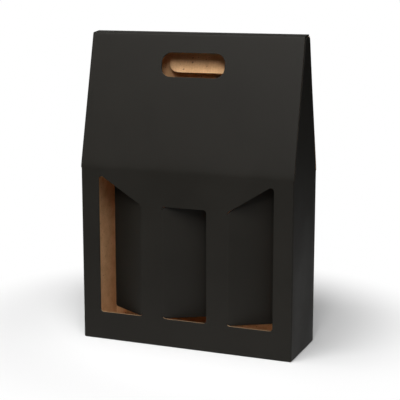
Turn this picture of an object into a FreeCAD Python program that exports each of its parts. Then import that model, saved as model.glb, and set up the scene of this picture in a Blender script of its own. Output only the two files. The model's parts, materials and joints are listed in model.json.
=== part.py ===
import FreeCAD, Part
import math
import os

# Bottle shipping box: a folded corrugated carrier for three bottles, whose gable roof is also
# its handle. Millimetres, +Z up, the front with the three windows looks towards -Y.
# The origin is at the middle of the bottom.

# Board
board = 1.5                  # thickness of the corrugated board
fold_radius = 2.0            # outer radius of a folded corner
inner_fold_radius = 0.5      # inner radius of a folded corner
hinge_gap = 0.2              # slit along a crease, between the two panels that it joins
slide_gap = 0.3              # room between panels that lie against each other
cut_gap = 0.4                # room round a flap inside the opening that it was cut from

# Box body
width = 270.0                # outside, left to right
depth = 90.0                 # outside, front to back
shoulder_height = 214.0      # creases where the roof panels and gables start

# Windows in the front wall, with the divider flaps cut from them
end_strip_width = 23.5       # from the box's end to the first window
post_width = 26.0            # between two windows
window_bottom = 35.0
middle_window_drop = 41.0    # top edge below the shoulder crease
outer_window_low_drop = 42.0     # top corner towards the middle window, below the shoulder crease
outer_window_high_drop = 6.0     # top corner towards the box's end
window_corner = 4.0          # radius
outer_divider_swing = 30.0   # degrees, how far the left and right flaps stand inwards at rest
middle_divider_swing = 29.0

# Roof: the front panel carries the ridge strip and the tuck flap, the back panel leans on them
front_lean = 12.95           # degrees from upright
front_fold_height = 375.0    # outer corner of the fold between front panel and ridge strip
ridge_depth = 16.5           # from the ridge strip's front fold to its back fold
ridge_rise = 2.0             # how much higher its back fold lies
tuck_hole_gap = 6.0          # from the tuck flap's free edge down to the hand hole
tuck_end_inset = 4.0         # each end of the tuck flap stays this far from the box's end
tuck_corner = 8.0            # radius
roof_taper = 1.0             # each end of the roof steps in this much up to the ridge
back_panel_drop = 3.0        # free top edge of the back panel below the ridge strip's fold

# Hand hole, of one size in both roof panels, and the flap that stays on the back one
hand_hole_length = 80.0
hand_hole_height = 29.0
hand_hole_corner = 12.0      # radius
hand_hole_drop = 36.7        # from the front panel's top fold down to the hole's middle
back_hole_raise = 2.5        # the back panel's hole lies this much further up its panel
hand_flap_swing = 28.0       # degrees, how far it is pushed in at rest
hand_flap_end_relief = 1.0   # its crease is this much shorter at each end

# Gables, standing up from the side walls between the roof panels
gable_drop = 5.0             # top edge below the front panel's top fold
gable_corner = 3.0           # radius

# Glued lap inside the right-hand back corner
lap_width = 22.0
lap_end_inset = 6.0          # from the floor and from the shoulder
lap_end_slope = 5.0

# Snap-lock bottom: front flap outermost, tongue tucked in over the back flap
front_flap_reach = 51.0      # from the front crease
flap_end_slope = 35.0        # how far the front and side flaps' ends slant in
tongue_width = 90.0
tongue_relief = 3.0          # notch beside the tongue
tongue_length = 25.0
tongue_corner = 8.0          # radius
back_flap_reach = 54.0       # from the back crease
back_flap_slope = 12.0       # how far its ends slant in
seam_width = 0.8
seam_depth = 0.8
seam_end_inset = 4.0         # a seam stops this far from the folded corner

half_width = width / 2
half_depth = depth / 2
window_width = (width - 2 * end_strip_width - 2 * post_width) / 3
window_spacing = window_width + post_width
X = FreeCAD.Vector(1, 0, 0)
Z = FreeCAD.Vector(0, 0, 1)


def point(x, y, z):
    return FreeCAD.Vector(x, y, z)


def rounded_face(corners, radii):
    """Flat face through the corners, each one rounded by its own radius."""
    edges = []
    starts = []
    ends = []
    count = len(corners)
    for i in range(count):
        here = corners[i]
        to_last = (corners[i - 1] - here).normalize()
        to_next = (corners[(i + 1) % count] - here).normalize()
        half_angle = to_last.getAngle(to_next) / 2
        inwards = (to_last + to_next).normalize()
        reach = radii[i] / math.tan(half_angle)
        starts.append(here + to_last * reach)
        ends.append(here + to_next * reach)
        if radii[i] > 0:
            middle = here + inwards * (radii[i] / math.sin(half_angle) - radii[i])
            edges.append(Part.Arc(starts[i], middle, ends[i]).toShape())
    for i in range(count):
        edges.append(Part.LineSegment(ends[i], starts[(i + 1) % count]).toShape())
    return Part.Face(Part.Wire(Part.__sortEdges__(edges)))


def upright_panel(corners, radii, outer_y, inwards):
    """Plate from (x, z) corners: its outer face at outer_y, its thickness towards inwards."""
    face = rounded_face([point(x, outer_y, z) for x, z in corners], radii)
    return face.extrude(point(0, inwards * board, 0))


def hand_hole_panel(outer_y, inwards, gap, raised):
    """Plate in the outline of the hand hole, smaller than it by the gap all round."""
    middle_z = shoulder_height + hand_hole_up + raised
    half = hand_hole_length / 2 - gap
    low = middle_z - hand_hole_height / 2 + gap
    high = middle_z + hand_hole_height / 2 - gap
    radius = min(hand_hole_corner, hand_hole_height / 2 - hinge_gap) - gap
    return upright_panel([(-half, low), (half, low), (half, high), (-half, high)],
                         [radius] * 4, outer_y, inwards)


def folded_strip(outer_line, half_length):
    """Board bent along creases that run across the box; outer_line lists its outer (y, z) points
    so that the board's thickness lies to the right of the way they go."""
    normals = []
    for (y0, z0), (y1, z1) in zip(outer_line, outer_line[1:]):
        length = math.hypot(y1 - y0, z1 - z0)
        normals.append(((z1 - z0) / length, -(y1 - y0) / length))
    inner_line = []
    for i, (y, z) in enumerate(outer_line):
        before = normals[max(i - 1, 0)]
        after = normals[min(i, len(normals) - 1)]
        share = board / (1 + before[0] * after[0] + before[1] * after[1])
        inner_line.append((y + share * (before[0] + after[0]), z + share * (before[1] + after[1])))
    corners = [point(-half_length, y, z) for y, z in outer_line + inner_line[::-1]]
    face = Part.Face(Part.makePolygon(corners + corners[:1]))
    return face.extrude(X * (2 * half_length))


def edges_across_at(shape, places):
    """Edges that run across the box through the given (y, z) places."""
    found = []
    for edge in shape.Edges:
        ends = [vertex.Point for vertex in edge.Vertexes]
        for y, z in places:
            if all(math.hypot(end.y - y, end.z - z) < 0.01 for end in ends):
                found.append(edge)
    return found


def lean(shape, y, degrees):
    """Turn a panel about the shoulder crease at y; a positive angle leans it to the front."""
    turned = shape.copy()
    turned.rotate(point(0, y, shoulder_height), X, degrees)
    return turned


def leaned_point(crease_y, degrees, outwards, up):
    """Place of a panel's point as (y, z): up along the panel from its shoulder crease, and
    outwards from its outer face in +Y."""
    angle = math.radians(degrees)
    y = crease_y + outwards * math.cos(angle) - up * math.sin(angle)
    z = shoulder_height + outwards * math.sin(angle) + up * math.cos(angle)
    return y, z


# Roof lines that follow from the driving sizes
front_angle = math.radians(front_lean)
front_fold = (-half_depth + (front_fold_height - shoulder_height) * math.tan(front_angle),
              front_fold_height)
back_fold = (front_fold[0] + ridge_depth, front_fold[1] + ridge_rise)
back_run = math.hypot(half_depth - back_fold[0], back_fold[1] - shoulder_height)
behind_tuck = math.asin((board + slide_gap) / back_run)
back_angle = math.atan2(half_depth - back_fold[0], back_fold[1] - shoulder_height) - behind_tuck
back_lean = math.degrees(back_angle)
tuck_crease_up = back_run * math.cos(behind_tuck)    # measured up the back panel
hand_hole_up = (front_fold_height - shoulder_height) / math.cos(front_angle) - hand_hole_drop
tuck_length = tuck_crease_up - tuck_hole_gap - hand_hole_up - hand_hole_height / 2
back_panel_length = tuck_crease_up - back_panel_drop
roof_top = back_fold[1]


def window_outlines():
    """Name, (x, z) corners and swing of each window, with the side of its divider's hinge."""
    half = window_width / 2
    low = window_bottom
    outlines = []
    for name, middle, hinge_side, swing in (("left", -window_spacing, 1, outer_divider_swing),
                                            ("middle", 0, -1, middle_divider_swing),
                                            ("right", window_spacing, -1, outer_divider_swing)):
        hinge_top = shoulder_height - outer_window_low_drop
        free_top = shoulder_height - outer_window_high_drop
        if name == "middle":
            hinge_top = shoulder_height - middle_window_drop
            free_top = hinge_top
        hinge_x = middle + hinge_side * half
        free_x = middle - hinge_side * half
        corners = [(hinge_x, low), (free_x, low), (free_x, free_top), (hinge_x, hinge_top)]
        outlines.append((name, corners, hinge_side, swing))
    return outlines


def body_shell():
    """Four walls and a flat bottom with rounded folds, still open above the shoulder."""
    outer = Part.makeBox(width, depth, shoulder_height, point(-half_width, -half_depth, 0))
    folds = [edge for edge in outer.Edges if min(v.Point.z for v in edge.Vertexes) < 0.01]
    outer = outer.makeFillet(fold_radius, folds)
    cavity = Part.makeBox(width - 2 * board, depth - 2 * board, shoulder_height,
                          point(-half_width + board, -half_depth + board, board))
    uprights = [edge for edge in cavity.Edges
                if abs(edge.Vertexes[0].Point.z - edge.Vertexes[-1].Point.z) > 1]
    return outer.cut(cavity.makeFillet(inner_fold_radius, uprights))


def shoulder_cutters():
    """What the walls lose at the top so that the roof panels and gables clear them."""
    slit = hinge_gap / 2
    flat = Part.makeBox(width * 2, depth * 2, shoulder_height,
                        point(-width, -depth, shoulder_height - slit))
    front = Part.makeBox(width * 2, 2 * board, shoulder_height,
                         point(-width, -half_depth - board / 2, shoulder_height - slit))
    back = Part.makeBox(width * 2, 2 * board, shoulder_height,
                        point(-width, half_depth - 1.5 * board, shoulder_height - slit))
    return [flat, lean(front, -half_depth, -front_lean), lean(back, half_depth, back_lean)]


def seam(start, end):
    """Narrow groove in the underside between two (x, y) points."""
    run = math.hypot(end[0] - start[0], end[1] - start[1])
    groove = Part.makeBox(run + seam_width, seam_width, 2 * seam_depth,
                          point(-seam_width / 2, -seam_width / 2, -seam_depth))
    groove.rotate(point(0, 0, 0), Z, math.degrees(math.atan2(end[1] - start[1], end[0] - start[0])))
    groove.translate(point(start[0], start[1], 0))
    return groove


def bottom_seams():
    """Edges of the snap-lock flaps as they show from below."""
    corner_x = half_width - seam_end_inset
    corner_y = half_depth - seam_end_inset
    front_edge = -half_depth + front_flap_reach
    back_edge = half_depth - back_flap_reach
    slope_x = half_width - flap_end_slope
    notch_x = tongue_width / 2 + tongue_relief
    grooves = []
    for side in (-1, 1):
        line = [(side * corner_x, -corner_y), (side * slope_x, front_edge),
                (side * notch_x, front_edge), (side * notch_x, back_edge), (0, back_edge)]
        for start, end in zip(line, line[1:]):
            grooves.append(seam(start, end))
        grooves.append(seam((side * corner_x, corner_y), (side * slope_x, front_edge)))
    return grooves


def inside_flaps():
    """Back flap and front tongue, lying on the bottom inside the box."""
    back_wall = half_depth - board
    end_x = half_width - board
    back_edge = half_depth - back_flap_reach
    back_flap = rounded_face([point(-end_x, back_wall, board), point(end_x, back_wall, board),
                              point(end_x - back_flap_slope, back_edge, board),
                              point(-end_x + back_flap_slope, back_edge, board)],
                             [0, 0, 0, 0]).extrude(Z * board)
    foot = Part.makeBox(tongue_width, board, 2 * board,
                        point(-tongue_width / 2, back_edge - board, board))
    tip_y = back_edge + tongue_length
    half = tongue_width / 2
    tongue = rounded_face([point(-half, back_edge - board, 2 * board),
                           point(half, back_edge - board, 2 * board),
                           point(half, tip_y, 2 * board), point(-half, tip_y, 2 * board)],
                          [0, 0, tongue_corner, tongue_corner]).extrude(Z * board)
    return [back_flap, foot, tongue]


def glue_lap():
    """Strip glued inside the right side wall, on from the back wall."""
    inner_x = half_width - board
    far_y = half_depth - board
    near_y = far_y - lap_width
    low = 2 * board + lap_end_inset
    high = shoulder_height - lap_end_inset
    corners = [point(inner_x, far_y, low), point(inner_x, near_y, low + lap_end_slope),
               point(inner_x, near_y, high - lap_end_slope), point(inner_x, far_y, high)]
    return Part.Face(Part.makePolygon(corners + corners[:1])).extrude(X * -board)


def carton_body():
    body = body_shell()
    for piece in inside_flaps() + [glue_lap()]:
        body = body.fuse(piece)
    cutters = shoulder_cutters() + bottom_seams()
    for name, corners, hinge_side, swing in window_outlines():
        window = upright_panel(corners, [window_corner] * 4, -half_depth - board, 3)
        cutters.append(window)
    return body.cut(cutters).removeSplitter()


def divider(corners, hinge_side, swing):
    """Flap cut from a window, turned inwards about its crease on the wall's inner face."""
    hinge_x = corners[0][0]
    free_x = corners[1][0] + hinge_side * cut_gap
    near_x = hinge_x - hinge_side * hinge_gap / 2
    slope = (corners[2][1] - corners[3][1]) / abs(corners[2][0] - corners[3][0])
    top_drop = cut_gap * math.hypot(1, slope)
    low = corners[0][1] + cut_gap
    outline = [(near_x, low), (free_x, low),
               (free_x, corners[2][1] - top_drop - slope * cut_gap),
               (near_x, corners[3][1] - top_drop + slope * hinge_gap / 2)]
    flap = upright_panel(outline, [window_corner] * 4, -half_depth, 1)
    flap.rotate(point(hinge_x, -half_depth + board, 0), Z, -hinge_side * swing)
    return flap


def roof_outline():
    """Prism that gives the roof its slight taper towards the ridge."""
    top_half = half_width - roof_taper
    low = shoulder_height - board
    corners = [point(-half_width, -depth, low), point(half_width, -depth, low),
               point(half_width, -depth, shoulder_height), point(top_half, -depth, roof_top),
               point(top_half, -depth, roof_top + board), point(-top_half, -depth, roof_top + board),
               point(-top_half, -depth, roof_top), point(-half_width, -depth, shoulder_height)]
    return Part.Face(Part.makePolygon(corners + corners[:1])).extrude(point(0, 2 * depth, 0))


def tuck_waste():
    """Board on both sides of the tuck flap and round its corners."""
    high = shoulder_height + tuck_crease_up - board
    low = shoulder_height + tuck_crease_up - tuck_length
    tuck_half = half_width - tuck_end_inset
    outer_y = half_depth - slide_gap
    around = upright_panel([(-width, low - board), (width, low - board), (width, high), (-width, high)],
                           [0, 0, 0, 0], outer_y, -3)
    tuck = upright_panel([(-tuck_half, low), (tuck_half, low),
                          (tuck_half, high + board), (-tuck_half, high + board)],
                         [tuck_corner, tuck_corner, 0, 0], outer_y, -3)
    return lean(around.cut(tuck), half_depth, back_lean)


def front_roof():
    foot = leaned_point(-half_depth, -front_lean, 0, hinge_gap / 2)
    tuck_end = (back_fold[0] + tuck_length * math.sin(back_angle),
                back_fold[1] - tuck_length * math.cos(back_angle))
    roof = folded_strip([foot, front_fold, back_fold, tuck_end], half_width)
    roof = roof.makeFillet(fold_radius, edges_across_at(roof, [front_fold, back_fold]))
    roof = roof.common(roof_outline())
    hole = hand_hole_panel(-half_depth - board, 3, 0, 0)
    return roof.cut([tuck_waste(), lean(hole, -half_depth, -front_lean)])


def back_roof():
    low = shoulder_height + hinge_gap / 2
    high = shoulder_height + back_panel_length
    panel = upright_panel([(-half_width, low), (half_width, low),
                           (half_width, high), (-half_width, high)], [0, 0, 0, 0], half_depth, -1)
    hole = hand_hole_panel(half_depth + board, -3, 0, back_hole_raise)
    return lean(panel.cut(hole), half_depth, back_lean).common(roof_outline())


def hand_flap():
    middle_z = shoulder_height + hand_hole_up + back_hole_raise
    flap = hand_hole_panel(half_depth, -1, cut_gap, back_hole_raise)
    crease_half = hand_hole_length / 2 - hand_hole_corner - hand_flap_end_relief
    crease_z = middle_z + hand_hole_height / 2
    root = Part.makeBox(2 * crease_half, board, hand_hole_height / 2 - hinge_gap / 2,
                        point(-crease_half, half_depth - board, middle_z))
    flap = flap.fuse(root).removeSplitter()
    flap.rotate(point(0, half_depth - board, crease_z), X, -hand_flap_swing)
    return lean(flap, half_depth, back_lean)


def gable(side):
    """Flap that stands on a side wall and closes the roof's end."""
    low = shoulder_height + hinge_gap / 2
    high = front_fold_height - gable_drop
    room = board + slide_gap

    def front_y(z):
        return -half_depth + room / math.cos(front_angle) + (z - shoulder_height) * math.tan(front_angle)

    def back_y(z):
        return half_depth - room / math.cos(back_angle) - (z - shoulder_height) * math.tan(back_angle)

    x = side * half_width
    corners = [point(x, front_y(low), low), point(x, back_y(low), low),
               point(x, back_y(high), high), point(x, front_y(high), high)]
    return rounded_face(corners, [0, 0, gable_corner, gable_corner]).extrude(X * (-side * board))


def build():
    shapes = {"carton_body": carton_body(), "front_roof": front_roof(), "back_roof": back_roof(),
              "hand_flap": hand_flap(), "gable_left": gable(-1), "gable_right": gable(1)}
    for name, corners, hinge_side, swing in window_outlines():
        shapes["divider_" + name] = divider(corners, hinge_side, swing)
    return shapes


os.makedirs("parts", exist_ok=True)
for node, shape in build().items():
    shape.exportStep("parts/" + node + ".step")
    print(node, len(shape.Solids), "solid", round(shape.Volume / 1000, 2), "cm3", shape.isValid())
y_hand, z_hand = leaned_point(half_depth, back_lean, -board,
                              hand_hole_up + back_hole_raise + hand_hole_height / 2)
print("back lean", round(back_lean, 3), "hand flap crease", round(y_hand, 3), round(z_hand, 3))
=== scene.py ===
import bpy
import bmesh
import json
from math import atan2, cos, exp, pi, radians, sin
from mathutils import Matrix, Vector


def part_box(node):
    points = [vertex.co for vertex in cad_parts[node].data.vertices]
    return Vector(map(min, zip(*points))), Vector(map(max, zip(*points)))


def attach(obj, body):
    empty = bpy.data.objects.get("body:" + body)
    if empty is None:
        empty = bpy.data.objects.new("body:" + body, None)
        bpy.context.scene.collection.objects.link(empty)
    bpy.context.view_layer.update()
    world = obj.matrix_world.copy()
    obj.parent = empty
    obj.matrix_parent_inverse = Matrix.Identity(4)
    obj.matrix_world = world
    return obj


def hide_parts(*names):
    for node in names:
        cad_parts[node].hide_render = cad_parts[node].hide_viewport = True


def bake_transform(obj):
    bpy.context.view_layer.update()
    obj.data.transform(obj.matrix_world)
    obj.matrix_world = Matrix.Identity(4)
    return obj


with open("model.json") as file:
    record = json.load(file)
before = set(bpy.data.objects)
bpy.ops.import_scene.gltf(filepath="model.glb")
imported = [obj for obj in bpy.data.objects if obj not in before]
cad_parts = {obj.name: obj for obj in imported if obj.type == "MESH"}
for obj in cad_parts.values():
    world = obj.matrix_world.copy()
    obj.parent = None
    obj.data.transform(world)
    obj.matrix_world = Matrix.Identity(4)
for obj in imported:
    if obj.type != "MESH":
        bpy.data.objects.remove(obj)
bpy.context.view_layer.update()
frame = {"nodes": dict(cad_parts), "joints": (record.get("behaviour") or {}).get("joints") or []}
scene = bpy.context.scene

# Carrier for three bottles, folded from one blank of corrugated board; lengths are in metres
board = {
    "thickness": 0.0015,
    "flutePitch": 0.0034,      # from one wave of the middle layer to the next
}
# The last slot is the dark edge: print pressed over the cut, and painted shade on window and
# hand-hole edges that face away from the light
printed, plain, cut, pressedAndShaded = range(4)      # a board's surfaces, as material slots


def material(name):
    made = bpy.data.materials.new(name)
    made.use_nodes = True
    return made, made.node_tree, made.node_tree.nodes["Principled BSDF"]


def addNode(tree, kind, inputs, **settings):
    made = tree.nodes.new(kind)
    for key, value in settings.items():
        setattr(made, key, value)
    for key, value in inputs.items():
        if isinstance(value, bpy.types.NodeSocket):
            tree.links.new(value, made.inputs[key])
        else:
            made.inputs[key].default_value = value
    return made


def objectPlace(tree):
    return addNode(tree, "ShaderNodeTexCoord", {}).outputs["Object"]


def noise(tree, place, scale, detail, roughness=0.5):
    made = addNode(tree, "ShaderNodeTexNoise", {"Vector": place, "Scale": scale, "Detail": detail,
                                                "Roughness": roughness})
    return made.outputs["Fac"]


def ramp(tree, value, span, onto=(0.0, 1.0), shape="LINEAR"):      # one span onto another
    made = addNode(tree, "ShaderNodeMapRange", {"Value": value, "From Min": span[0],
                                                "From Max": span[1], "To Min": onto[0],
                                                "To Max": onto[1]}, interpolation_type=shape)
    return made.outputs["Result"]


def mixColour(tree, share, first, second):
    made = addNode(tree, "ShaderNodeMix", {}, data_type="RGBA")
    sockets = made.inputs[0], made.inputs[6], made.inputs[7]      # share, then the two colours
    for socket, value in zip(sockets, (share, first, second)):
        if isinstance(value, bpy.types.NodeSocket):
            tree.links.new(value, socket)
        else:
            socket.default_value = (*value, 1.0)
    return made.outputs[2]


def combine(tree, operation, first, second):
    made = addNode(tree, "ShaderNodeMath", {0: first, 1: second}, operation=operation)
    return made.outputs[0]


def vectorMath(tree, operation, first, second, output="Value"):
    made = addNode(tree, "ShaderNodeVectorMath", {0: first, 1: second}, operation=operation)
    return made.outputs[output]


# The middle layer's wave, and the place from the outer side, 0, to the inner side, 1
def fluteWave(tree):
    boardMap = addNode(tree, "ShaderNodeUVMap", {}, uv_map="board").outputs["UV"]
    parts = addNode(tree, "ShaderNodeSeparateXYZ", {"Vector": boardMap})
    turns = combine(tree, "MULTIPLY", parts.outputs["X"], 2 * pi / board["flutePitch"])
    return combine(tree, "SINE", turns, 0.0), parts.outputs["Y"]


def setBump(tree, shader, facts, height):
    bump = addNode(tree, "ShaderNodeBump", {"Height": height, "Strength": facts["bump"],
                                            "Distance": facts["bumpHeight"]})
    tree.links.new(bump.outputs["Normal"], shader.inputs["Normal"])


def setRelief(tree, shader, facts, wave, grain):      # flutes and grain that show through
    setBump(tree, shader, facts,
            combine(tree, "ADD", combine(tree, "MULTIPLY", wave, facts["fluteRelief"]),
                    combine(tree, "MULTIPLY", grain, facts["grainRelief"])))


# Matt black print with soft clouds and a fine grain
ink = {
    "dark": (0.0078, 0.0068, 0.0050), "light": (0.0114, 0.0101, 0.0077),
    "roughness": (0.53, 0.64), "shine": 0.17,
    "cloudScale": 14.0, "cloudDetail": 3.0, "cloudSpan": (0.3, 0.7), "cloudTone": (0.15, 0.75),
    "grainScale": 900.0, "grainDetail": 3.0, "grainRoughness": 0.6,
    "grainSpan": (0.35, 0.65), "grainTone": (-0.20, 0.25),
    "fluteRelief": 0.25, "grainRelief": 0.5, "bump": 0.10, "bumpHeight": 0.0002,
}


def blackPrint():
    made, tree, shader = material("blackPrint")
    place = objectPlace(tree)
    clouds = noise(tree, place, ink["cloudScale"], ink["cloudDetail"])
    grain = noise(tree, place, ink["grainScale"], ink["grainDetail"], ink["grainRoughness"])
    tone = combine(tree, "ADD", ramp(tree, clouds, ink["cloudSpan"], ink["cloudTone"]),
                   ramp(tree, grain, ink["grainSpan"], ink["grainTone"]))
    tree.links.new(mixColour(tree, tone, ink["dark"], ink["light"]), shader.inputs["Base Color"])
    tree.links.new(ramp(tree, clouds, ink["cloudSpan"], ink["roughness"]),
                   shader.inputs["Roughness"])
    shader.inputs["Specular IOR Level"].default_value = ink["shine"]
    setRelief(tree, shader, ink, fluteWave(tree)[0], grain)
    return made


# Bare brown paper with lying fibres, mottled tone and a few dark specks
kraft = {
    "dark": (0.53, 0.305, 0.142), "light": (0.75, 0.468, 0.253), "speck": (0.09, 0.05, 0.025),
    "roughness": 0.85, "shine": 0.2,
    "fibreStretch": (0.45, 1.0, 1.0), "fibreScale": 620.0, "fibreDetail": 4.0,
    "fibreRoughness": 0.65, "fibreSpan": (0.3, 0.7), "fibreTone": (0.25, 0.75),
    "cloudScale": 75.0, "cloudDetail": 3.0, "cloudSpan": (0.3, 0.7), "cloudTone": (-0.30, 0.30),
    "speckScale": 330.0, "speckDetail": 1.0, "speckSpan": (0.71, 0.75), "speckTone": (0.0, 0.75),
    "fluteTone": 0.05,
    "fluteRelief": 0.5, "grainRelief": 0.5, "bump": 0.25, "bumpHeight": 0.0003,
}


def kraftInside():
    made, tree, shader = material("kraftInside")
    place = objectPlace(tree)
    lying = addNode(tree, "ShaderNodeMapping", {"Vector": place, "Scale": kraft["fibreStretch"]})
    fibres = noise(tree, lying.outputs["Vector"], kraft["fibreScale"], kraft["fibreDetail"],
                   kraft["fibreRoughness"])
    clouds = noise(tree, place, kraft["cloudScale"], kraft["cloudDetail"])
    specks = noise(tree, place, kraft["speckScale"], kraft["speckDetail"])
    wave = fluteWave(tree)[0]
    tone = combine(tree, "ADD", ramp(tree, fibres, kraft["fibreSpan"], kraft["fibreTone"]),
                   ramp(tree, clouds, kraft["cloudSpan"], kraft["cloudTone"]))
    tone = combine(tree, "ADD", tone, combine(tree, "MULTIPLY", wave, kraft["fluteTone"]))
    colour = mixColour(tree, tone, kraft["dark"], kraft["light"])
    speckShare = ramp(tree, specks, kraft["speckSpan"], kraft["speckTone"])
    tree.links.new(mixColour(tree, speckShare, colour, kraft["speck"]),
                   shader.inputs["Base Color"])
    shader.inputs["Roughness"].default_value = kraft["roughness"]
    shader.inputs["Specular IOR Level"].default_value = kraft["shine"]
    setRelief(tree, shader, kraft, wave, fibres)
    return made


# The board's section: two liners with the wavy layer between them, and painted shade in the
# hollows between
section = {
    "paper": (0.52, 0.37, 0.22), "hollowShade": (0.10, 0.055, 0.025),
    "roughness": 0.9, "shine": 0.15,
    "waveSwing": 0.28,             # this and the next ones are shares of the thickness
    "waveEdge": (0.12, 0.20),      # where the wavy layer ends and the hollow begins
    "linerEdge": (0.30, 0.36),     # where a liner begins, from the middle
    # the dark edge is mostly ink, which is partly pressed print and partly painted shade
    "cutInk": 0.1, "pressedAndShadedInk": 0.9, "inkFade": 0.08,
    "bump": 0.6, "bumpHeight": 0.0004,
}


# The inked share of the section: print that the knife pressed over the liner, and on the dark
# edge partly painted shade
def sectionEdge(name, inked):
    made, tree, shader = material(name)
    wave, across = fluteWave(tree)
    middle = combine(tree, "ADD", combine(tree, "MULTIPLY", wave, section["waveSwing"]), 0.5)
    fromWave = combine(tree, "ABSOLUTE", combine(tree, "SUBTRACT", across, middle), 0.0)
    fromCentre = combine(tree, "ABSOLUTE", combine(tree, "SUBTRACT", across, 0.5), 0.0)
    paper = combine(tree, "MAXIMUM", ramp(tree, fromWave, section["waveEdge"], (1.0, 0.0)),
                    ramp(tree, fromCentre, section["linerEdge"]))
    # the hollows get a dark colour that stands in for the shade inside them
    colour = mixColour(tree, paper, section["hollowShade"], section["paper"])
    bare = ramp(tree, across, (inked, inked + section["inkFade"]))
    tree.links.new(mixColour(tree, bare, ink["dark"], colour), shader.inputs["Base Color"])
    shader.inputs["Roughness"].default_value = section["roughness"]
    shader.inputs["Specular IOR Level"].default_value = section["shine"]
    setBump(tree, shader, section, paper)
    return made


# The second edge is the dark one: pressed print, and painted shade on edges that face away from
# the light
boardMaterials = [blackPrint(), kraftInside(), sectionEdge("cutEdge", section["cutInk"]),
                  sectionEdge("pressedAndShadedEdge", section["pressedAndShadedInk"])]
print("materials ready")

# How a solid of the frame is turned into board
making = {
    "weld": 2e-6,                   # corners closer than this become one
    "flat": radians(1),             # faces that turn less than this become one
    "facing": 0.5,                  # a face counts as facing a way from this share on
    "printedFrom": 0.25,            # a face is printed or plain where its normal leans so far
    "plainFrom": 0.55,              # out or in, and cut between the two
    "rim": 0.0003, "rimSteps": 2,
    "atCrease": 2e-5,               # corners within this of a crease lie on it
    "atCut": 1e-6,
    "creaseStart": -0.0001,
    "foldStrips": 12, "strip": 0.011,
    "bendSteps": 40,
    "bentFrom": 0.01,               # a panel that rests at less than this angle is flat
    "corner": radians(32),          # edges that turn more are real corners
}


def jointOf(body):
    return next(joint for joint in frame["joints"] if joint["child"] == body)


def cleanCopy(node):      # the node's solid with its triangles merged into whole faces
    bm = bmesh.new()
    bm.from_mesh(frame["nodes"][node].data)
    bmesh.ops.remove_doubles(bm, verts=bm.verts, dist=making["weld"])
    bmesh.ops.dissolve_limit(bm, angle_limit=making["flat"], verts=bm.verts, edges=bm.edges)
    return bm


def cutStrips(bm, origin, direction, places):
    for place in places:
        bmesh.ops.bisect_plane(bm, geom=bm.verts[:] + bm.edges[:] + bm.faces[:],
                               dist=making["atCut"], plane_co=origin + direction * place,
                               plane_no=direction)


def steps(first, last, size):      # even places between first and last, about size apart
    count = max(1, round((last - first) / size))
    return [first + (last - first) * i / count for i in range(1, count)]


# Print, plain side or cut edge for each face, from the ways that the board can face at its place
def paintPlate(bm, facingAt):
    for face in bm.faces:
        ways = facingAt(face.calc_center_median())
        side = max((face.normal.dot(way) for way in ways), key=abs)
        if side > making["printedFrom"]:
            face.material_index = printed
        else:
            face.material_index = plain if side < -making["plainFrom"] else cut


def onCrease(v, root, along, near):
    return (v.co - root).dot(along) < near + making["atCrease"]


def rollRim(bm, root, along, near):      # round the print's rim where it was cut, not creased
    mark = bm.faces.layers.int.new("rim")
    rim = []
    for edge in bm.edges:
        sides = {face.material_index for face in edge.link_faces}
        creased = all(onCrease(v, root, along, near) for v in edge.verts)
        if sides == {printed, cut} and not creased:
            rim.append(edge)
    rolled = bmesh.ops.bevel(bm, geom=rim, offset=making["rim"], offset_type="OFFSET",
                             affect="EDGES", segments=making["rimSteps"], profile=0.5,
                             material=-1)
    for face in rolled["faces"]:
        face[mark] = 1


def isPrinted(v):
    return any(face.material_index == printed for face in v.link_faces)


def mapPlate(bm, fluteAxis):      # board map: along the flutes' axis, and across the board
    layer = bm.loops.layers.uv.new("board")
    for face in bm.faces:
        for loop in face.loops:
            loop[layer].uv = (loop.vert.co[fluteAxis], 0.0 if isPrinted(loop.vert) else 1.0)


# Curve a flat plate inwards from its root. The turn builds up over the length ease, and the far
# end, at reach, comes to lie at the angle swing.
def bend(bm, root, along, outward, swing, ease, reach):
    full = swing / (1 - ease / reach * (1 - exp(-reach / ease)))
    pieces = making["bendSteps"]
    for v in bm.verts:
        offset = v.co - root
        run = offset.dot(along)
        depth = offset.dot(outward)
        rest = offset - along * run - outward * depth
        x, y = 0.0, 0.0
        for i in range(pieces):
            angle = full * (1 - exp(-max(run, 0.0) * (i + 0.5) / pieces / ease))
            x += cos(angle) * run / pieces
            y += sin(angle) * run / pieces
        angle = full * (1 - exp(-max(run, 0.0) / ease))
        normal = outward * cos(angle) + along * sin(angle)
        v.co = root + rest + along * x - outward * y + normal * depth


def finishPiece(bm, name, node):      # smooth but for its real corners, and shown for its node
    bmesh.ops.recalc_face_normals(bm, faces=bm.faces)
    for face in bm.faces:
        face.smooth = True
    mark = bm.faces.layers.int.get("rim")
    for edge in bm.edges:
        if len(edge.link_faces) == 2:
            first, second = edge.link_faces
            turned = edge.calc_face_angle(0.0) > making["corner"]
            apart = mark is not None and first[mark] != second[mark]
            changes = first.material_index != second.material_index
            edge.smooth = not (turned or apart or changes)
    mesh = bpy.data.meshes.new(name)
    bm.to_mesh(mesh)
    bm.free()
    for made in boardMaterials:
        mesh.materials.append(made)
    piece = bpy.data.objects.new(name, mesh)
    scene.collection.objects.link(piece)
    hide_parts(node)
    return piece


def restNormal(bm, outward):      # normal of the plate's biggest outer face
    facing = [face for face in bm.faces if face.normal.dot(outward) > making["facing"]]
    return max(facing, key=lambda face: face.calc_area()).normal.copy()


def layFlat(bm, root, along, outward):      # turn a panel back about its crease
    resting = restNormal(bm, outward)
    swing = atan2(resting.dot(along), resting.dot(outward))
    flatten = Matrix.Rotation(swing, 4, along.cross(outward))
    bmesh.ops.rotate(bm, cent=root, matrix=flatten, verts=bm.verts)
    return swing, flatten


def extent(bm, root, along):
    lengths = [(v.co - root).dot(along) for v in bm.verts]
    return min(lengths), max(lengths)


def joinCrease(piece, swing):
    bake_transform(piece)
    print(piece.name, "rest angle", round(swing * 180 / pi, 2))


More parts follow.
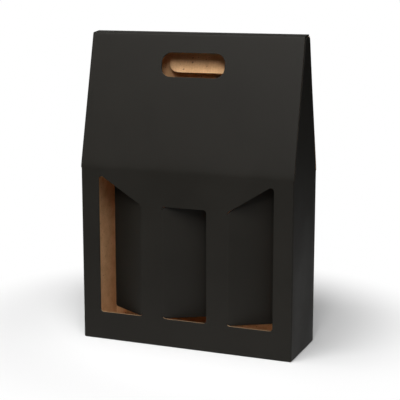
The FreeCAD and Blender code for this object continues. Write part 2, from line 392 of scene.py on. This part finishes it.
# How each moving panel leaves the board that it was cut or folded from. Its turn builds up over
# ease, its fold takes foldZone, and its root sinks into the crease at the print and inside.
roofFold = {"foldZone": 0.014, "printRoot": -0.0001, "innerRoot": -0.00045, "flutes": 0}
gableFold = {"foldZone": 0.006, "printRoot": -0.0001, "innerRoot": -0.0001, "flutes": 1,
             "ease": 0.0028}
dividerFold = {"foldZone": 0.005, "printRoot": 0.0, "innerRoot": 0.0, "flutes": 0,
               "ease": 0.0011}
panels = {
    "front_roof": {**roofFold, "piece": "frontRoof", "along": (0, 0, 1), "outward": (0, -1, 0),
                   "ease": 0.0036},
    "back_roof": {**roofFold, "piece": "backRoof", "along": (0, 0, 1), "outward": (0, 1, 0),
                  "ease": 0.002},
    "gable_left": {**gableFold, "piece": "gableLeft", "along": (0, 0, 1),
                   "outward": (-1, 0, 0)},
    "gable_right": {**gableFold, "piece": "gableRight", "along": (0, 0, 1),
                    "outward": (1, 0, 0)},
    "divider_left": {**dividerFold, "piece": "dividerLeft", "along": (-1, 0, 0),
                     "outward": (0, -1, 0)},
    "divider_middle": {**dividerFold, "piece": "dividerMiddle", "along": (1, 0, 0),
                       "outward": (0, -1, 0)},
    "divider_right": {**dividerFold, "piece": "dividerRight", "along": (1, 0, 0),
                      "outward": (0, -1, 0)},
}

ridge = {
    "strip": (0, -0.12, 0.993), "tuck": (0, 0.978, 0.208),      # ways that they face at rest
    "height": 0.0075,           # below the top, all three parts of the roof can meet here
    "panelDepth": 0.004,        # further back than this from the crease it is the tuck flap
    "tuckSide": 0.123, "tuckBehind": 0.0073, "tuckEnd": 0.0085, "tuckWider": 0.28,
}


def ridgeWays(place, root, bm, flatten):      # roof panel, ridge strip and tuck flap, laid flat
    top = max(v.co.z for v in bm.verts)
    panel = Vector((0, -1, 0))
    strip = flatten.to_3x3() @ Vector(ridge["strip"])
    tuck = flatten.to_3x3() @ Vector(ridge["tuck"])
    if place.z > top - ridge["height"]:
        return [panel, strip, tuck]
    return [panel] if place.y < root.y + ridge["panelDepth"] else [tuck]


def widenTuck(bm):      # the tuck flap reaches the gables
    for v in bm.verts:
        beyond = abs(v.co.x) - ridge["tuckSide"]
        if v.co.y > ridge["tuckBehind"] and 0 < beyond < ridge["tuckEnd"]:
            v.co.x += (1 if v.co.x > 0 else -1) * beyond * ridge["tuckWider"]


gableTop = {"height": 0.0031, "rise": 0.0033, "width": 0.92}


def raiseGable(bm):      # the gable's top comes closer to the ridge, a little narrower
    top = max(v.co.z for v in bm.verts)
    upper = [v for v in bm.verts if v.co.z > top - gableTop["height"]]
    middle = (min(v.co.y for v in upper) + max(v.co.y for v in upper)) / 2
    for v in upper:
        v.co.z += gableTop["rise"]
        v.co.y = middle + (v.co.y - middle) * gableTop["width"]


roofEdges = {"holeHalf": 0.045, "holeBelow": 0.012, "sideways": 0.9}


# The roof's sides and the hand hole's edges get the dark edge, but not the hole's lower edge;
# round the hole this is painted shade, as the lower edge that faces up to the light keeps its
# paper
def pressAndShadeRoofEdges(bm):
    top = max(v.co.z for v in bm.verts)
    for face in bm.faces:
        centre = face.calc_center_median()
        inHole = abs(centre.x) < roofEdges["holeHalf"] and centre.z < top - roofEdges["holeBelow"]
        atSide = abs(face.normal.x) > roofEdges["sideways"]
        # a hole edge that doesn't face up is darkened as painted shade
        holeEdgeInShade = inHole and face.normal.z < making["facing"]
        if face.material_index == cut and (atSide or holeEdgeInShade):
            face.material_index = pressedAndShaded


# Gables and dividers are pressed all round, but a divider's free edge shows its paper
def pressFlapEdges(bm, along, isDivider):
    for face in bm.faces:
        freeEdge = isDivider and face.normal.dot(along) > making["facing"]
        if face.material_index == cut and not freeEdge:
            face.material_index = pressedAndShaded


# A panel is laid flat in its parent's plane, cut into strips and bent back to where it rests
def movingPanel(node):
    facts = panels[node]
    root = Vector(jointOf(node)["pos_m"])
    along = Vector(facts["along"])
    outward = Vector(facts["outward"])
    bm = cleanCopy(node)
    if node == "front_roof":
        widenTuck(bm)
    if node.startswith("gable"):
        raiseGable(bm)
    swing, flatten = layFlat(bm, root, along, outward)
    near, reach = extent(bm, root, along)

    def facingAt(place):
        return ridgeWays(place, root, bm, flatten) if node == "front_roof" else [outward]

    paintPlate(bm, facingAt)
    rollRim(bm, root, along, near)
    paintPlate(bm, facingAt)
    if node.endswith("roof"):
        pressAndShadeRoofEdges(bm)
    else:
        pressFlapEdges(bm, along, node.startswith("divider"))
    for v in bm.verts:
        if onCrease(v, root, along, near):
            sunk = facts["printRoot"] if isPrinted(v) else facts["innerRoot"]
            v.co += along * (sunk - near)
    zone = facts["foldZone"]
    places = steps(making["creaseStart"], zone, zone / making["foldStrips"])
    cutStrips(bm, root, along, places + steps(zone, reach, making["strip"]))
    mapPlate(bm, facts["flutes"])
    if swing > making["bentFrom"]:
        bend(bm, root, along, outward, swing, facts["ease"], reach)
    piece = finishPiece(bm, facts["piece"], node)
    joinCrease(piece, swing)


for node in panels:
    movingPanel(node)

flap = {"ease": 0.002, "foldZone": 0.006, "foldStrips": 10, "strip": 0.004}


def handFlap():      # the flap in the back hand hole, hinged on the back roof's inner face
    root = Vector(jointOf("hand_flap")["pos_m"])
    back = cleanCopy("back_roof")
    outward = restNormal(back, Vector((0, 1, 0)))
    back.free()
    along = outward.cross(Vector((1, 0, 0)))
    if along.z > 0:      # it hangs down the panel
        along = -along
    bm = cleanCopy("hand_flap")
    swing = layFlat(bm, root, along, outward)[0]
    paintPlate(bm, lambda place: [outward])
    near, reach = extent(bm, root, along)
    for v in bm.verts:
        if onCrease(v, root, along, near):
            v.co -= along * near
    zone = flap["foldZone"]
    places = steps(0, zone, zone / flap["foldStrips"])
    cutStrips(bm, root, along, places + steps(zone, reach, flap["strip"]))
    mapPlate(bm, 0)
    bend(bm, root, along, outward, swing, flap["ease"], reach)
    piece = finishPiece(bm, "handFlap", "hand_flap")
    joinCrease(piece, swing)


handFlap()

carton = {
    "lookAhead": 0.001,            # a face with nothing outside it this far on is outermost
    "outside": 1e-5,
    "skin": 0.0009,                # the print lies no deeper than this
    "between": (0.07, 0.93),       # a face between a board's two sides is a cut edge
    "windowFrom": 0.02, "windowBelowTop": 0.005,
    "inWall": 2e-5,                # a face this little past a wall's thickness is still in it
    "stripStart": 0.003, "strip": 0.014, "sideStrip": 0.012,
}


def boxBody():      # walls with the windows, glued lap and interlocked bottom
    bm = cleanCopy("carton_body")
    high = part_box("carton_body")[1]
    thick = board["thickness"]

    def depthOf(place):      # from the nearest outer side, not counting the open top
        return min(high.x - abs(place.x), high.y - abs(place.y), place.z)

    def isOutside(place):
        spare = carton["outside"]
        return abs(place.x) > high.x + spare or abs(place.y) > high.y + spare or place.z < -spare

    for face in bm.faces:
        centre = face.calc_center_median()
        share = (depthOf(centre) / thick) % 1.0
        outermost = isOutside(centre + face.normal * carton["lookAhead"])
        between = carton["between"][0] < share < carton["between"][1]
        inWindow = (centre.y < -high.y + thick
                    and carton["windowFrom"] < centre.z < high.z - carton["windowBelowTop"])
        if outermost and depthOf(centre) < carton["skin"]:
            face.material_index = printed
        elif not between:
            face.material_index = plain
        else:      # only a window's lower edge shows its paper
            # a window edge that doesn't face up gets the dark edge as painted shade; the lower
            # edge, facing up to the light, keeps its paper
            windowEdgeInShade = inWindow and face.normal.z < making["facing"]
            face.material_index = pressedAndShaded if windowEdgeInShade else cut
    start = carton["stripStart"]
    cutStrips(bm, Vector(), Vector((0, 0, 1)), steps(start, high.z, carton["strip"]))
    cutStrips(bm, Vector(), Vector((1, 0, 0)), steps(-high.x + start, high.x - start,
                                                     carton["strip"]))
    cutStrips(bm, Vector(), Vector((0, 1, 0)), steps(-high.y + start, high.y - start,
                                                     carton["sideStrip"]))
    layer = bm.loops.layers.uv.new("board")
    for face in bm.faces:
        centre = face.calc_center_median()
        boardStart = int(depthOf(centre) / thick) * thick      # of the board that it is part of
        sideWall = high.x - abs(centre.x) < thick + carton["inWall"]
        for loop in face.loops:
            place = loop.vert.co
            across = (depthOf(place) - boardStart) / thick
            loop[layer].uv = (place.y if sideWall else place.x, min(max(across, 0.0), 1.0))
    piece = finishPiece(bm, "boxBody", "carton_body")
    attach(piece, "carton")


boxBody()
print("board pieces ready")

# White surroundings that light the box little and show to the camera and in mirrored rays that
# head for the backdrop
backdrop = {
    "azimuth": 21.9, "halfWidth": 12, "fade": 26,      # in degrees, behind the box
    "light": 0.02,
}


def seenRays(tree, heading):      # one for rays that show the white surroundings
    path = addNode(tree, "ShaderNodeLightPath", {}).outputs
    seen = combine(tree, "MAXIMUM", path["Is Camera Ray"], path["Is Transmission Ray"])
    around = radians(backdrop["azimuth"])
    unit = vectorMath(tree, "NORMALIZE", heading, (0, 0, 0), "Vector")
    facing = vectorMath(tree, "DOT_PRODUCT", unit, (-sin(around), cos(around), 0))
    span = cos(radians(backdrop["fade"])), cos(radians(backdrop["halfWidth"]))
    mirrored = combine(tree, "MULTIPLY", path["Is Glossy Ray"], ramp(tree, facing, span))
    return combine(tree, "MAXIMUM", seen, mirrored)


def makeWorld():
    world = bpy.data.worlds.new("surroundings")
    scene.world = world
    world.use_nodes = True
    tree = world.node_tree
    background = tree.nodes["Background"]
    background.inputs["Color"].default_value = (1, 1, 1, 1)
    heading = addNode(tree, "ShaderNodeTexCoord", {}).outputs["Generated"]
    strength = ramp(tree, seenRays(tree, heading), (0.0, 1.0), (backdrop["light"], 1.0))
    tree.links.new(strength, background.inputs["Strength"])


# Pale round the box and darker far off, where it would only throw light back at the box. It takes
# the shadow near the box and opens into the white surroundings further out.
table = {
    "halfSize": 14.0, "roughness": 0.9, "shine": 0.1,
    "middle": (0.08, 0.2, 0.0), "paleSpan": (0.35, 0.85), "colours": (0.80, 0.12),
    "shadowMiddle": (-0.035, 0.06, 0.0), "shadowSpan": (0.17, 0.35),
}


def makeFloor():
    bm = bmesh.new()
    bmesh.ops.create_grid(bm, x_segments=1, y_segments=1, size=table["halfSize"])
    mesh = bpy.data.meshes.new("floor")
    bm.to_mesh(mesh)
    bm.free()
    floor = bpy.data.objects.new("floor", mesh)
    scene.collection.objects.link(floor)
    made, tree, shader = material("paleFloor")
    shader.inputs["Roughness"].default_value = table["roughness"]
    shader.inputs["Specular IOR Level"].default_value = table["shine"]
    place = objectPlace(tree)
    colour = ramp(tree, vectorMath(tree, "DISTANCE", place, table["middle"]),
                  table["paleSpan"], table["colours"])
    tree.links.new(colour, shader.inputs["Base Color"])
    opening = ramp(tree, vectorMath(tree, "DISTANCE", place, table["shadowMiddle"]),
                   table["shadowSpan"], shape="SMOOTHSTEP")
    share = combine(tree, "MULTIPLY", seenRays(tree, place), opening)
    white = addNode(tree, "ShaderNodeEmission", {"Color": (1, 1, 1, 1), "Strength": 1.0})
    mixed = addNode(tree, "ShaderNodeMixShader", {0: share, 1: shader.outputs[0],
                                                  2: white.outputs[0]})
    tree.links.new(mixed.outputs[0], tree.nodes["Material Output"].inputs["Surface"])
    mesh.materials.append(made)


# Soft boxes, in watts
lamps = {
    "overFront": {"power": 20.4, "size": (1.4, 0.6), "place": (0.0, -0.75, 1.20)},
    "overBack": {"power": 2.6, "size": (1.4, 0.6), "place": (0.0, -0.05, 1.40)},
    "overLeft": {"power": 3.6, "size": (0.6, 0.8), "place": (-0.9, -0.2, 1.10)},
    "key": {"power": 9.6, "size": (0.55, 0.35), "place": (0.50, -1.32, 1.05)},
}
lampTarget = Vector((0, 0, 0.18))


def areaLamp(name):
    data = bpy.data.lights.new(name, "AREA")
    data.energy = lamps[name]["power"]
    data.shape = "RECTANGLE"
    data.size, data.size_y = lamps[name]["size"]
    lamp = bpy.data.objects.new(name, data)
    lamp.location = lamps[name]["place"]
    lamp.rotation_euler = (lampTarget - lamp.location).to_track_quat("-Z", "Y").to_euler()
    scene.collection.objects.link(lamp)


# The photograph's view, fitted to the box's corners; angles in degrees
view = {
    "azimuth": 21.9, "elevation": 11.1, "distance": 1.404, "target": (0.0026, 0.0, 0.1754),
    "lens": 104.2, "sensor": 36.0,
}


def makeCamera():
    data = bpy.data.cameras.new("camera")
    data.lens = view["lens"]
    data.sensor_width = view["sensor"]
    camera = bpy.data.objects.new("camera", data)
    around, above = radians(view["azimuth"]), radians(view["elevation"])
    back = Vector((sin(around) * cos(above), -cos(around) * cos(above), sin(above)))
    camera.location = Vector(view["target"]) + back * view["distance"]
    camera.rotation_euler = (-back).to_track_quat("-Z", "Y").to_euler()
    scene.collection.objects.link(camera)
    scene.camera = camera


makeWorld()
makeFloor()
for name in lamps:
    areaLamp(name)
makeCamera()
scene.view_settings.view_transform = "Standard"
print("studio ready")
